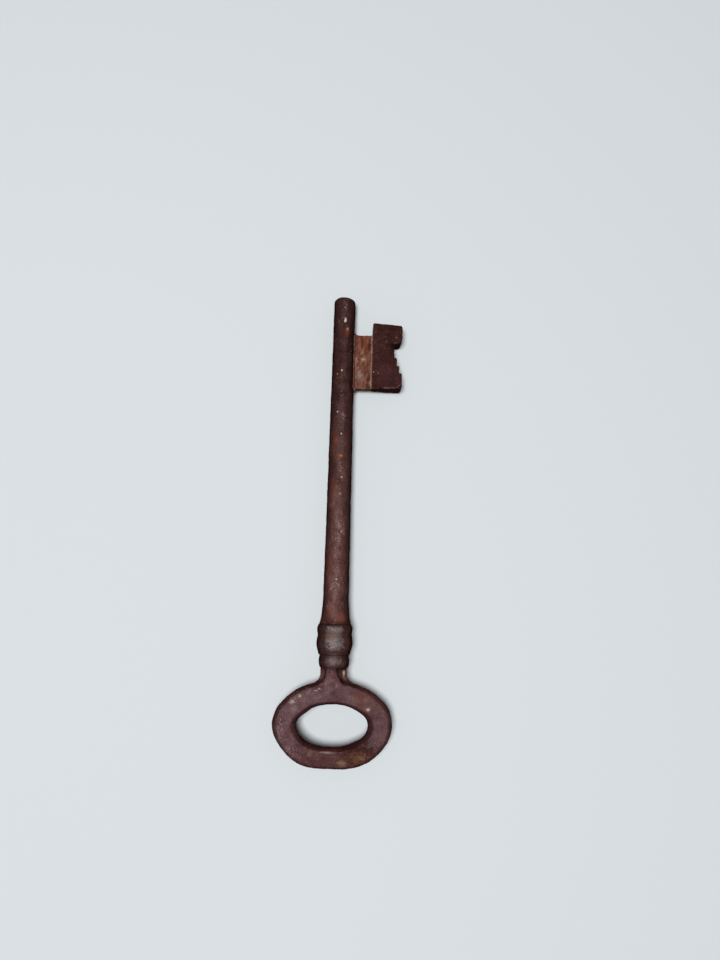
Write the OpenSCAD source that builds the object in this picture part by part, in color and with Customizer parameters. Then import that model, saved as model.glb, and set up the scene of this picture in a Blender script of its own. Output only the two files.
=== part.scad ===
// An old iron bit key, put together from turned, filed and brazed pieces.
//
// The shank is a turned pin that swells towards the hand. Behind its shoulder it steps down to a
// spigot and then to a tenon. The collar and the neck ring slide on the spigot, and the bow's
// neck sits on the tenon. The bit is a filed plate whose root stands in a slot in the shank, with
// braze run into the corners. Every joint has the small gap that braze fills.
//
// Millimetres. The shank's axis is Y and its tip points to +Y, the bit points to +X, and Z = 0 is
// the middle of the bow's and the bit's thickness. The origin is on the axis, where the straight
// nose begins.

/* [Shank] */
// Length from the collar's front face to the tip
shank_length = 103.8; // [90:0.1:125]
// Diameter of the straight nose
nose_d = 6.9; // [6.2:0.1:7.2]
// Length of the straight nose with its rounded tip
nose_length = 11.2; // [8:0.1:18]
// Radius of the tip's rounded edge
tip_round = 1.4; // [0.4:0.1:2]
// Diameter where the flare to the shoulder begins
shank_d = 7.8; // [7.2:0.1:8.4]
// Diameter of the shoulder that the collar seats on
shoulder_d = 9.2; // [8.6:0.1:9.6]
// Length of the flare
flare_length = 9; // [5:0.1:14]

/* [Collar] */
// Length of the collar
collar_length = 8.9; // [7.5:0.1:9.8]
// Diameter of the collar's front bead
front_bead_d = 10.7; // [10.3:0.1:11.4]
// Width of the front bead
front_bead_w = 3.2; // [2.6:0.1:4]
// Diameter of the collar's front edge
front_edge_d = 9.7; // [9:0.1:9.9]
// Diameter of the collar's belly
belly_d = 10.9; // [10.3:0.1:12]
// Width of the belly
belly_w = 6.8; // [6:0.1:7.4]
// Diameter of the collar's back edge
back_edge_d = 8.9; // [8.2:0.1:9.4]
// Diameter of the groove between the bead and the belly
groove_d = 10.2; // [9:0.1:10.2]

/* [Neck ring] */
// Diameter of the ring behind the collar
ring_d = 9.2; // [8.6:0.1:9.8]
// Width of the ring
ring_w = 3.9; // [3:0.1:5]
// Diameter of the ring's edges
ring_edge_d = 8.2; // [7.8:0.1:8.4]

/* [Bow] */
// Width of the bow across the key
bow_w = 35.4; // [32:0.1:40]
// Length of the bow's oval along the key
bow_l = 24.9; // [23.5:0.1:28]
// Thickness of the bow between its flat faces
bow_t = 5; // [4.7:0.1:6]
// Width of the eye at the middle of the thickness
eye_w = 21; // [18:0.1:23]
// Length of the eye along the key
eye_l = 12.1; // [10.6:0.1:13]
// How far the eye's middle lies behind the bow's
eye_back = 0.3; // [0:0.1:0.6]
// Width of the rounded edges, seen square to the flat faces at the oval's top and bottom
edge_w = 1.05; // [0.7:0.05:1.3]
// Diameter of the round neck
neck_d = 7.8; // [7.2:0.1:8]
// Length of the neck, from the ring to the top of the oval
neck_length = 3.8; // [3.4:0.1:6]
// Radius of the hollow curves between the neck and the oval
cove_r = 3; // [2:0.1:3.6]

/* [Bit] */
// Distance from the straight nose back to the bit's front edge at its root
bit_setback = 1.1; // [1.1:0.1:3]
// Length of the bit's root along the shank
root_length = 17.9; // [15:0.1:22]
// Distance from the shank's axis to the bit's outer edge
bit_reach = 18.75; // [16.5:0.05:22]
// Distance from the shank's axis to the wing's inner edge
wing_inner = 9.3; // [8:0.1:11]
// How far the wing stands forward of the root, at its inner corner
wing_forward = 4.2; // [1.6:0.1:5]
// How much the wing's front edge falls back towards its outer corner
wing_fall = 1.2; // [0:0.1:1.4]
// Thickness of the web between the shank and the wing
web_t = 2.2; // [1.6:0.1:2.6]
// Thickness of the wing at its inner edge
wing_inner_t = 3.6; // [3:0.1:4.4]
// Thickness of the wing at its outer edge
wing_outer_t = 6; // [4.6:0.1:6.6]
// Radius of the wing's outer corners
wing_round = 0.7; // [0.2:0.1:1]
// Radius of the hollow corners at both ends of the root
root_fillet = 0.7; // [0.4:0.1:1]

/* [Ward cuts] */
// Distance from the front of the root to the deep cut
deep_cut_at = 3; // [2:0.1:5]
// Width of the deep cut
deep_cut_w = 4.7; // [2.5:0.1:5]
// Depth of the deep cut
deep_cut_depth = 2.5; // [2.3:0.1:5]
// Width of the middle cut
mid_cut_w = 2.8; // [2:0.1:3.2]
// Depth of the middle cut
mid_cut_depth = 1.7; // [1.4:0.1:1.9]
// Width of the back cut
back_cut_w = 2.4; // [1.5:0.1:3]
// Depth of the back cut
back_cut_depth = 0.85; // [0.6:0.05:1.1]

/* [Joints] */
// Diameter of the spigot that carries the collar and the neck ring
spigot_d = 6; // [5.4:0.1:6.6]
// Diameter of the tenon in the bow's neck
tenon_d = 3.6; // [3:0.1:4]
// Length of the tenon in the bow's neck
tenon_length = 4.4; // [3:0.1:5]
// Depth of the slot for the bit's root
slot_depth = 2.3; // [1.2:0.1:2.6]
// Gap that the braze fills, on each side of a joint
braze_gap = 0.05; // [0.02:0.01:0.1]
// Radius of the braze run along the bit's root
braze_r = 0.8; // [0.5:0.1:1.2]

/* [Hidden] */
$fn = 96;

rust_brown = "#4c3029";
bit_brown = "#5a3a2f";
worn_grey = "#5f4b43";
bow_brown = "#5f3f39";
braze_brass = "#a8743c";

past = 1;              // how far a cutter runs past what it cuts
cut_round = 0.25;      // radius of the corners of the ward cuts
inner_round = 0.5;     // radius of the two corners at the wing's inner edge
braze_bite = 1.06;     // how much the braze's hollow is enlarged, so that its edges stay blunt
cove_bite = 0.05;      // how far a cove's curve dips into the oval, so that it meets it cleanly

nose_r = nose_d / 2;
neck_r = neck_d / 2;
spigot_bore_r = spigot_d / 2 + braze_gap;
tenon_bore_r = tenon_d / 2 + braze_gap;
slot_x = nose_r - slot_depth;

// Stations along the shank, from the tip back
tip_y = nose_length;
shoulder_y = tip_y - shank_length;
flare_y = shoulder_y + flare_length;
ring_front_y = shoulder_y - collar_length;
neck_y = ring_front_y - ring_w;
bow_y = neck_y - neck_length - bow_l / 2;
eye_y = bow_y - eye_back;
root_front_y = -bit_setback;
root_back_y = root_front_y - root_length;

// Radius of the arc that rounds the bow's edges, from face to face
edge_r = (edge_w * edge_w + bow_t * bow_t / 4) / (2 * edge_w);

// Points of an arc of radius r that replaces the corner b between a and c.
function corner_arc(a, b, c, r, steps = 5) =
    let (u = (a - b) / norm(a - b), v = (c - b) / norm(c - b), half = acos(u * v) / 2)
    let (centre = b + (u + v) / norm(u + v) * r / sin(half), start = b + u * r / tan(half))
    let (d = start - centre, way = cross(d, b - centre) > 0 ? 1 : -1)
    [for (k = [0:steps]) let (w = way * (180 - 2 * half) * k / steps)
        centre + [d[0] * cos(w) - d[1] * sin(w), d[0] * sin(w) + d[1] * cos(w)]];

// An outline with rounded corners, from a list of [x, y, radius].
function rounded(corners) = let (n = len(corners)) [
    for (i = [0:n - 1])
        let (a = corners[(i + n - 1) % n], b = corners[i], c = corners[(i + 1) % n])
        each b[2] == 0
            ? [[b[0], b[1]]]
            : corner_arc([a[0], a[1]], [b[0], b[1]], [c[0], c[1]], b[2])
];

// Revolves a profile about the shank's axis. Its x is the radius and its y the place along Y.
module turned() {
    rotate([-90, 0, 0]) rotate_extrude() children();
}

// Half the section of a turned bead that swells from an edge radius to a top radius.
module bead_profile(width, edge_radius, top_radius) {
    rise = top_radius - edge_radius;
    arc_r = (width * width / 4 + rise * rise) / (2 * rise);
    square([edge_radius, width]);
    intersection() {
        translate([top_radius - arc_r, width / 2]) circle(r = arc_r, $fn = 240);
        square([top_radius, width]);
    }
}

// The shank as it comes off the lathe, without the slot for the bit.
module shank_turning() {
    shank_r = shank_d / 2;
    shoulder_r = shoulder_d / 2;
    rise = shoulder_r - shank_r;
    flare_r = (flare_length * flare_length + rise * rise) / (2 * rise);
    spigot_end_y = neck_y + braze_gap;
    tenon_end_y = neck_y - tenon_length;
    turned() {
        // Core, from the tenon to the tip
        translate([0, tenon_end_y]) square([tenon_d / 2, tip_y - tenon_end_y]);
        // Nose and rounded tip
        square([nose_r, tip_y - tip_round]);
        square([nose_r - tip_round, tip_y]);
        translate([nose_r - tip_round, tip_y - tip_round]) intersection() {
            circle(r = tip_round);
            square(tip_round);
        }
        // Long taper
        polygon([[0, flare_y], [shank_r, flare_y], [nose_r, 0], [0, 0]]);
        // Flare, hollow like the mouth of a trumpet
        difference() {
            translate([0, shoulder_y]) square([shoulder_r, flare_length]);
            translate([shank_r + flare_r, flare_y]) circle(r = flare_r, $fn = 720);
        }
        // Spigot
        translate([0, spigot_end_y]) square([spigot_d / 2, flare_y - spigot_end_y]);
    }
}

module shank() {
    color(rust_brown) difference() {
        shank_turning();
        translate([slot_x, root_back_y - braze_gap, -web_t / 2 - braze_gap])
            cube([slot_depth + shank_d, root_length + 2 * braze_gap, web_t + 2 * braze_gap]);
    }
}

module collar() {
    color(worn_grey) translate([0, ring_front_y, 0]) turned() difference() {
        union() {
            bead_profile(belly_w, back_edge_d / 2, belly_d / 2);
            translate([0, collar_length - front_bead_w])
                bead_profile(front_bead_w, front_edge_d / 2, front_bead_d / 2);
            translate([0, belly_w / 2])
                square([groove_d / 2, collar_length - (belly_w + front_bead_w) / 2]);
        }
        translate([-past, -past]) square([spigot_bore_r + past, collar_length + 2 * past]);
    }
}

module neck_ring() {
    color(worn_grey) translate([0, neck_y, 0]) turned() difference() {
        bead_profile(ring_w, ring_edge_d / 2, ring_d / 2);
        translate([-past, -past]) square([spigot_bore_r + past, ring_w + 2 * past]);
    }
}

// Half the section of a plate whose rim, at radius r, is rounded from face to face.
module rim_profile(r) {
    translate([0, -bow_t / 2]) square([r - edge_w, bow_t]);
    intersection() {
        translate([r - edge_r, 0]) circle(r = edge_r);
        translate([0, -bow_t / 2]) square([r, bow_t]);
    }
}

// Half the section of a cutter that leaves such a rim round a hole of radius r.
module hole_profile(r) {
    difference() {
        translate([0, -bow_t / 2 - past]) square([r + edge_w, bow_t + 2 * past]);
        translate([r + edge_r, 0]) circle(r = edge_r);
    }
}

// An oval: a turned disc or cutter, stretched across the key. The child draws its section at $r.
module oval(w, l) {
    scale([w / l, 1, 1]) rotate_extrude($fn = 180) {
        $r = l / 2;
        children();
    }
}

// Where on an ellipse, as an angle, a circle that touches it from outside has its centre at x.
function touch_angle(a, b, r, x, low = 1, high = 90, steps = 40) =
    let (t = (low + high) / 2, centre_x = a * cos(t) + r * b * cos(t) / norm([b * cos(t), a * sin(t)]))
    steps == 0 ? t
        : centre_x > x ? touch_angle(a, b, r, x, t, high, steps - 1)
        : touch_angle(a, b, r, x, low, t, steps - 1);

// The web between the neck and the oval, with a hollow curve on each side.
module bow_coves() {
    a = bow_w / 2;
    b = bow_l / 2;
    reach = cove_r - cove_bite;
    t = touch_angle(a, b, reach, neck_r + cove_r);
    normal = [b * cos(t), a * sin(t)] / norm([b * cos(t), a * sin(t)]);
    centre = [a * cos(t), bow_y + b * sin(t)] + reach * normal;
    inside = centre - (cove_r + bow_t / 2) * normal;
    difference() {
        translate([0, 0, -bow_t / 2]) linear_extrude(bow_t) polygon([
            [-centre[0], centre[1]],
            [centre[0], centre[1]],
            [inside[0], inside[1]],
            [-inside[0], inside[1]],
        ]);
        for (side = [-1, 1]) translate([side * centre[0], centre[1], 0])
            rotate_extrude() hole_profile(cove_r);
    }
}

// The round neck, filed away in two hollows until it is as thin as the bow.
module bow_neck() {
    inside_y = neck_y - neck_length - edge_w;
    hollow_length = neck_length + edge_w / 2;
    drop = (neck_d - bow_t) / 2;
    hollow_r = (hollow_length * hollow_length + drop * drop) / (2 * drop);
    hollow_y = neck_y - hollow_length;
    difference() {
        translate([0, neck_y, 0]) rotate([90, 0, 0]) cylinder(r = neck_r, h = neck_y - inside_y);
        for (side = [0, 1]) mirror([0, 0, side]) {
            translate([0, hollow_y, bow_t / 2 + hollow_r]) rotate([0, 90, 0])
                cylinder(r = hollow_r, h = neck_d + past, center = true, $fn = 240);
            translate([-neck_d / 2 - past, inside_y - past, bow_t / 2])
                cube([neck_d + 2 * past, hollow_y - inside_y + past, neck_d]);
        }
    }
}

module bow() {
    color(bow_brown) difference() {
        union() {
            translate([0, bow_y, 0]) oval(bow_w, bow_l) rim_profile($r);
            bow_coves();
            bow_neck();
        }
        translate([0, eye_y, 0]) oval(eye_w, eye_l) hole_profile($r);
        translate([0, neck_y + past, 0]) rotate([90, 0, 0])
            cylinder(r = tenon_bore_r, h = tenon_length + braze_gap + past);
    }
}

// The bit from its flat side: root, web, wing, and the cuts that clear the lock's wards.
module bit_outline() {
    wing_front_y = root_front_y + wing_forward;
    deep_front_y = root_front_y - deep_cut_at;
    deep_back_y = deep_front_y - deep_cut_w;
    mid_back_y = deep_back_y - mid_cut_w;
    tab_y = mid_back_y - back_cut_w;
    polygon(rounded([
        [slot_x + braze_gap, root_front_y, 0],
        [slot_x + braze_gap, root_back_y, 0],
        [bit_reach, root_back_y, wing_round],
        [bit_reach, tab_y, cut_round],
        [bit_reach - back_cut_depth, tab_y, cut_round],
        [bit_reach - back_cut_depth, mid_back_y, cut_round],
        [bit_reach - mid_cut_depth, mid_back_y, cut_round],
        [bit_reach - mid_cut_depth, deep_back_y, cut_round],
        [bit_reach - deep_cut_depth, deep_back_y, cut_round],
        [bit_reach - deep_cut_depth, deep_front_y, cut_round],
        [bit_reach, deep_front_y, wing_round],
        [bit_reach, wing_front_y - wing_fall, wing_round],
        [wing_inner, wing_front_y, inner_round],
        [wing_inner, root_front_y, inner_round],
    ]));
}

// The bit from its end: a thin web, a short slope, and a wing that thickens outwards.
module bit_section() {
    slope = (wing_inner_t - web_t) / 2;
    half = [
        [slot_x, web_t / 2],
        [wing_inner - slope, web_t / 2],
        [wing_inner, wing_inner_t / 2],
        [bit_reach, wing_outer_t / 2],
    ];
    polygon(concat(half, [for (i = [len(half) - 1:-1:0]) [half[i][0], -half[i][1]]]));
}

// Metal that fills the corners where the root's two ends meet the round shank.
module root_fillets() {
    outer_x = shank_d / 2 + root_fillet;
    for (side = [0, 1]) translate([0, side == 0 ? root_front_y : root_back_y, 0]) mirror([0, side, 0])
        translate([0, 0, -web_t / 2]) linear_extrude(web_t) difference() {
            translate([nose_r - root_fillet, 0]) square([outer_x - nose_r + root_fillet, root_fillet]);
            translate([outer_x, root_fillet]) circle(r = root_fillet);
        }
}

module bit() {
    color(bit_brown) union() {
        intersection() {
            translate([0, 0, -wing_outer_t]) linear_extrude(2 * wing_outer_t) bit_outline();
            translate([0, root_front_y + wing_forward + past, 0]) rotate([90, 0, 0])
                linear_extrude(root_length + wing_forward + 2 * past) bit_section();
        }
        difference() {
            root_fillets();
            shank_turning();
        }
    }
}

// Braze in the two corners between the web's faces and the shank.
module bit_braze() {
    shank_r = shank_d / 2;
    centre_z = web_t / 2 + braze_r;
    centre_x = sqrt(pow(shank_r + braze_r, 2) - centre_z * centre_z);
    touch = shank_r / (shank_r + braze_r);
    color(braze_brass) for (side = [0, 1]) mirror([0, 0, side]) difference() {
        translate([0, root_front_y, 0]) rotate([90, 0, 0]) linear_extrude(root_length) difference() {
            polygon([
                [slot_x, web_t / 2],
                [centre_x, web_t / 2],
                [centre_x, centre_z],
                [centre_x * touch, centre_z * touch],
            ]);
            translate([centre_x, centre_z]) circle(r = braze_r * braze_bite);
        }
        shank_turning();
    }
}

shank();
bit();
bit_braze();
collar();
neck_ring();
bow();
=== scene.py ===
import math

import bmesh
import bpy
import numpy as np
from bpy.props import FloatProperty, FloatVectorProperty, IntProperty, PointerProperty
from mathutils import Matrix, Vector


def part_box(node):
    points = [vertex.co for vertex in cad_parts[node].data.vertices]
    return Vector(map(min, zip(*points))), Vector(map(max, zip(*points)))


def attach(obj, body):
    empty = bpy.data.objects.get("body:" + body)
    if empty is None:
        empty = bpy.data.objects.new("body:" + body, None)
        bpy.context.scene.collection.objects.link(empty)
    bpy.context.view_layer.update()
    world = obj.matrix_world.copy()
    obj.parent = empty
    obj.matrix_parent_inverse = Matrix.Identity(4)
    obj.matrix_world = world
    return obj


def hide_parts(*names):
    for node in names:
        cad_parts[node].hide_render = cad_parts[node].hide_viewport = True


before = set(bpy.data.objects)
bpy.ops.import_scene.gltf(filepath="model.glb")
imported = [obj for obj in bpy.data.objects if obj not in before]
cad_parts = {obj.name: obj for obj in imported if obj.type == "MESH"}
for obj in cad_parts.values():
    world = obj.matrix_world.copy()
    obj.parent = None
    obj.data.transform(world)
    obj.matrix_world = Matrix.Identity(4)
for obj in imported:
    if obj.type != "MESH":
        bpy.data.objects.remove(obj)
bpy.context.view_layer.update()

bl_info = {
    "name": "Old rusted key",
    "version": (1, 0, 0),
    "blender": (4, 5, 0),
    "location": "View3D > Sidebar > Old key",
    "description": "Forges, turns, files and rusts an old iron bit key, and lays it on a pale floor",
    "category": "Object",
}

# In the frame, Y runs along the shank with the tip at its + end, the bit points to +X and the bow
# lies flat. Sizes and places of shapes and marks are millimetres in this frame.
MM = 0.001


def linear(hex_colour):
    """An sRGB hex colour as the linear numbers that shaders use."""
    parts = [int(hex_colour[i:i + 2], 16) / 255 for i in (1, 3, 5)]
    return tuple(c / 12.92 if c <= 0.04045 else ((c + 0.055) / 1.055) ** 2.4 for c in parts)


def between(first, second, share):
    """A linear colour on the way from the first to the second."""
    return tuple((1 - share) * a + share * b for a, b in zip(first, second))


def add(tree, kind, inputs=None, **settings):
    """Adds one node with its settings. Each input is a value, or the socket that feeds it."""
    node = tree.nodes.new(kind)
    for name, value in settings.items():
        setattr(node, name, value)
    for key, value in (inputs or {}).items():
        if isinstance(value, bpy.types.NodeSocket):
            tree.links.new(value, node.inputs[key])
        else:
            node.inputs[key].default_value = value
    return node


class Nodes:
    """A node tree, with short ways to add the nodes that are used most."""

    def __init__(self, tree):
        self.tree = tree

    def maths(self, operation, *values):
        """The result of a maths node, from values or sockets."""
        return add(self.tree, "ShaderNodeMath", dict(enumerate(values)), operation=operation).outputs[0]

    def times(self, first, second):
        return self.maths("MULTIPLY", first, second)

    def vector(self, operation, *values):
        """The outputs of a vector maths node: some operations give a vector, others a value."""
        return add(self.tree, "ShaderNodeVectorMath", dict(enumerate(values)), operation=operation).outputs

    def step(self, value, low, high, start=0.0, end=1.0):
        """A soft step from start, where the value is low, to end, where it is high."""
        return add(self.tree, "ShaderNodeMapRange", {0: value, 1: low, 2: high, 3: start, 4: end},
                   interpolation_type="SMOOTHSTEP").outputs[0]

    def seen_share(self):
        """1 for rays that the camera sends, also in reflections and through glass, and 0 for rays
        that gather light. The plain backdrop shows on the first kind alone."""
        rays = add(self.tree, "ShaderNodeLightPath").outputs
        share = rays["Is Camera Ray"]
        for name in ("Is Glossy Ray", "Is Transmission Ray"):
            share = self.maths("MAXIMUM", share, rays[name])
        return share


# Sizes and colours that a user would change


class KeySurface(bpy.types.PropertyGroup):
    """How worn and how rusted the iron is."""
    mesh_step: FloatProperty(
        name="Mesh step", description="Distance between the points of the rusted surface",
        default=0.15 * MM, min=0.1 * MM, max=0.5 * MM, unit="LENGTH", precision=5)
    edge_wear: FloatProperty(
        name="Edge wear", description="How far hands and rust have rounded the edges, 0 to 1",
        default=0.85, min=0, max=1, subtype="FACTOR")
    swell_depth: FloatProperty(
        name="Unevenness", description="Depth of the slow waves left by the hammer and the file",
        default=0.26 * MM, min=0, max=0.6 * MM, unit="LENGTH", precision=5)
    grain_depth: FloatProperty(
        name="Grain depth", description="Depth of the fine rust grain",
        default=0.12 * MM, min=0, max=0.4 * MM, unit="LENGTH", precision=5)
    pit_depth: FloatProperty(
        name="Pit depth", description="Depth of the rust pits",
        default=0.08 * MM, min=0, max=0.4 * MM, unit="LENGTH", precision=5)
    flake_height: FloatProperty(
        name="Flake height", description="Height of the flakes of hard scale",
        default=0.05 * MM, min=0, max=0.2 * MM, unit="LENGTH", precision=5)
    blister_height: FloatProperty(
        name="Blister height", description="Height of the small rust blisters",
        default=0.09 * MM, min=0, max=0.2 * MM, unit="LENGTH", precision=5)
    groove_depth: FloatProperty(
        name="Scratch depth", description="Depth of the file scratches along the web",
        default=0.16 * MM, min=0, max=0.4 * MM, unit="LENGTH", precision=5)
    seed: IntProperty(
        name="Seed", description="Start value of the rust pattern", default=7, min=0, max=999)


class KeyColours(bpy.types.PropertyGroup):
    """Colours of the rust and of what shows through it."""
    # Pit brown is also the colour of the painted shade on flanks, in the neck's scoops and beside the web
    pit_and_shade_brown: FloatVectorProperty(
        name="Pit brown", description="Old dark rust and grime in pits and corners",
        default=linear("#27110e"), subtype="COLOR", min=0, max=1)
    shank_rust: FloatVectorProperty(
        name="Shank rust", description="Rust of the shank near the collar",
        default=linear("#56302b"), subtype="COLOR", min=0, max=1)
    tip_rust: FloatVectorProperty(
        name="Tip rust", description="Darker rust of the shank near the tip, and of the wing",
        default=linear("#381c19"), subtype="COLOR", min=0, max=1)
    bow_rust: FloatVectorProperty(
        name="Bow rust", description="Purple-brown rust of the handled bow",
        default=linear("#553236"), subtype="COLOR", min=0, max=1)
    # Dusty rust is also the pale of the painted sheen on the shank's crest and on the neck's left scoop
    dust_and_sheen: FloatVectorProperty(
        name="Dusty rust", description="Paler dry rust on open faces",
        default=linear("#7b5450"), subtype="COLOR", min=0, max=1)
    # Worn iron also stands in for the highlight on the tops of the turned beads
    worn_grey_and_highlight: FloatVectorProperty(
        name="Worn iron", description="Grey iron where the rust is rubbed thin",
        default=linear("#857b78"), subtype="COLOR", min=0, max=1)
    fresh_orange: FloatVectorProperty(
        name="Fresh rust", description="Young orange rust",
        default=linear("#753c27"), subtype="COLOR", min=0, max=1)
    copper: FloatVectorProperty(
        name="Copper bloom", description="Copper tint that the braze left on the web",
        default=linear("#5c3424"), subtype="COLOR", min=0, max=1)
    # Pale copper is also the painted highlight along the web's two edges
    pale_copper_and_highlight: FloatVectorProperty(
        name="Pale copper", description="Rubbed, lighter parts of the copper tint",
        default=linear("#956551"), subtype="COLOR", min=0, max=1)
    brass: FloatVectorProperty(
        name="Braze", description="Brass of the braze under its dull coat",
        default=linear("#7f5c45"), subtype="COLOR", min=0, max=1)
    sand: FloatVectorProperty(
        name="Sand", description="Pale dirt caught in hollows",
        default=linear("#b58f6c"), subtype="COLOR", min=0, max=1)
    # Chip is also the colour of painted glints and highlights
    chip_and_glint: FloatVectorProperty(
        name="Chip", description="Pale specks and scuffs",
        default=linear("#d6ccc5"), subtype="COLOR", min=0, max=1)


class KeyStage(bpy.types.PropertyGroup):
    """Floor, lamp, sky and camera."""
    floor_colour: FloatVectorProperty(
        name="Floor", description="Colour of the floor",
        default=linear("#dfe5e8"), subtype="COLOR", min=0, max=1)
    lamp_power: FloatProperty(
        name="Lamp power", description="Power of the soft lamp", default=12.2, min=0, unit="POWER")
    lamp_size: FloatProperty(
        name="Lamp size", description="Diameter of the soft lamp", default=0.5, min=0.01, unit="LENGTH")
    lamp_height: FloatProperty(
        name="Lamp height", description="Height of the lamp over the floor",
        default=1.2, min=0.1, unit="LENGTH")
    backdrop: FloatVectorProperty(
        name="Backdrop", description="Colour that the camera sees behind the floor",
        default=linear("#d3d9dc"), subtype="COLOR", min=0, max=1)
    sky: FloatProperty(
        name="Sky", description="Strength of the even light from all round", default=0.13, min=0)
    camera_height: FloatProperty(
        name="Camera height", description="Height of the lens over the floor",
        default=227 * MM, min=0.1, unit="LENGTH")
    camera_tilt: FloatProperty(
        name="Camera tilt", description="How far the camera leans from straight down towards the tip",
        default=math.radians(8.99), subtype="ANGLE")
    lens: FloatProperty(
        name="Lens", description="Focal length on a sensor 36 mm long", default=27.04, min=10, unit="CAMERA")


class OldKey(bpy.types.PropertyGroup):
    """All settings of the key."""
    surface: PointerProperty(type=KeySurface)
    colours: PointerProperty(type=KeyColours)
    stage: PointerProperty(type=KeyStage)


# The rusted surface, as geometry


RUST_SIZES = (
    "Edge wear", "Swell depth", "Swell size", "Grain depth", "Grain size", "Pit depth", "Pit size",
    "Pit cover", "Flake height", "Flake size", "Blister height", "Blister size", "Blister cover", "Seed")


def rusting_tree():
    """Geometry Nodes tree that wears a mesh's edges, waves it, and grows grain, pits, flakes of
    scale and blisters. It keeps what it did as point attributes, which the materials read."""
    tree = bpy.data.node_groups.new("rusting", "GeometryNodeTree")
    face = tree.interface
    face.new_socket("Geometry", in_out="INPUT", socket_type="NodeSocketGeometry")
    for name in RUST_SIZES:
        face.new_socket(name, in_out="INPUT", socket_type="NodeSocketFloat")
    face.new_socket("Wear rounds", in_out="INPUT", socket_type="NodeSocketInt")
    face.new_socket("Material", in_out="INPUT", socket_type="NodeSocketMaterial")
    face.new_socket("Geometry", in_out="OUTPUT", socket_type="NodeSocketGeometry")
    given = add(tree, "NodeGroupInput").outputs
    place = add(tree, "GeometryNodeInputPosition").outputs[0]
    normal = add(tree, "GeometryNodeInputNormal").outputs[0]
    bare = add(tree, "GeometryNodeInputNamedAttribute", {"Name": "bare"}, data_type="FLOAT").outputs[0]

    nodes = Nodes(tree)
    maths, times, step = nodes.maths, nodes.times, nodes.step

    def waves(size, detail, shift):
        """Noise with blobs of a size. The shift gives each use its own pattern."""
        return add(tree, "ShaderNodeTexNoise",
                   {"Vector": place, "W": maths("ADD", given["Seed"], shift),
                    "Scale": maths("DIVIDE", 1.0, size), "Detail": detail, "Roughness": 0.6},
                   noise_dimensions="4D").outputs[0]

    def swing(size, detail, shift):
        """The same noise, round 0, so that it moves the surface out as much as in."""
        return maths("SUBTRACT", waves(size, detail, shift), 0.5)

    def kept(geometry, name, value):
        """The geometry with a value kept on its points under a name."""
        return add(tree, "GeometryNodeStoreNamedAttribute",
                   {"Geometry": geometry, "Name": name, "Value": value},
                   data_type="FLOAT", domain="POINT").outputs[0]

    # Wear: points move towards the average of their neighbours, so edges round off
    average = add(tree, "GeometryNodeBlurAttribute", {"Value": place, "Iterations": given["Wear rounds"]},
                  data_type="FLOAT_VECTOR").outputs[0]
    stands_out = nodes.vector("SUBTRACT", place, average)[0]
    convex = nodes.vector("DOT_PRODUCT", stands_out, normal)["Value"]
    convex = times(convex, 1 / MM)
    geometry = kept(given["Geometry"], "edge", convex)
    wear = times(given["Edge wear"], bare)
    worn = add(tree, "ShaderNodeMix", {0: wear, 4: place, 5: average}, data_type="VECTOR").outputs[1]
    geometry = add(tree, "GeometryNodeSetPosition", {"Geometry": geometry, "Position": worn}).outputs[0]

    swell = times(swing(given["Swell size"], 2.0, 0.0), given["Swell depth"])
    grain = times(swing(given["Grain size"], 3.0, 11.0), given["Grain depth"])

    # Pits: round hollows that crowd together where a slower noise is high
    cell = add(tree, "ShaderNodeTexVoronoi",
               {"Vector": place, "W": given["Seed"], "Scale": maths("DIVIDE", 1.0, given["Pit size"])},
               voronoi_dimensions="4D", feature="SMOOTH_F1").outputs["Distance"]
    crowd_noise = waves(times(given["Pit size"], 3.0), 2.0, 23.0)
    clear = maths("SUBTRACT", 1.0, given["Pit cover"])
    crowd = step(crowd_noise, clear, maths("ADD", clear, 0.16))
    pits = times(step(cell, 0.12, 0.5, 1.0, 0.0), crowd)

    # Flakes: plateaus of hard scale with a short step down to the bare surface
    plateau = step(waves(given["Flake size"], 4.0, 37.0), 0.5, 0.56)

    # Blisters: small domes on some cells of a finer pattern
    nest = add(tree, "ShaderNodeTexVoronoi",
               {"Vector": place, "W": maths("ADD", given["Seed"], 5.0),
                "Scale": maths("DIVIDE", 1.0, given["Blister size"])},
               voronoi_dimensions="4D", feature="F1")
    chance = add(tree, "FunctionNodeSeparateColor", {0: nest.outputs["Color"]}).outputs[0]
    chosen = maths("LESS_THAN", chance, given["Blister cover"])
    domes = times(step(nest.outputs["Distance"], 0.08, 0.36, 1.0, 0.0), chosen)

    # Flakes and pits count from their usual cover, so that the piece keeps its size
    flake_cover, pit_cover = 0.4, 0.12
    height = maths("ADD", swell, grain)
    height = maths("MULTIPLY_ADD", maths("SUBTRACT", plateau, flake_cover), given["Flake height"], height)
    height = maths("MULTIPLY_ADD", domes, given["Blister height"], height)
    sunk = times(maths("SUBTRACT", pits, pit_cover), given["Pit depth"])
    height = maths("SUBTRACT", height, sunk)
    height = times(height, bare)
    offset = add(tree, "ShaderNodeVectorMath", {0: normal, 3: height}, operation="SCALE").outputs[0]
    geometry = kept(kept(geometry, "pit", pits), "speck", domes)
    geometry = add(tree, "GeometryNodeSetPosition", {"Geometry": geometry, "Offset": offset}).outputs[0]
    geometry = add(tree, "GeometryNodeRealizeInstances", {"Geometry": geometry}).outputs[0]
    geometry = add(tree, "GeometryNodeSetMaterial",
                   {"Geometry": geometry, "Material": given["Material"]}).outputs[0]
    tree.links.new(geometry, add(tree, "NodeGroupOutput").inputs[0])
    return tree


def plain_mesh(thing):
    """The evaluated mesh of an object, as a new mesh with no modifiers behind it."""
    bpy.context.view_layer.update()
    return bpy.data.meshes.new_from_object(thing.evaluated_get(bpy.context.evaluated_depsgraph_get()))


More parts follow.
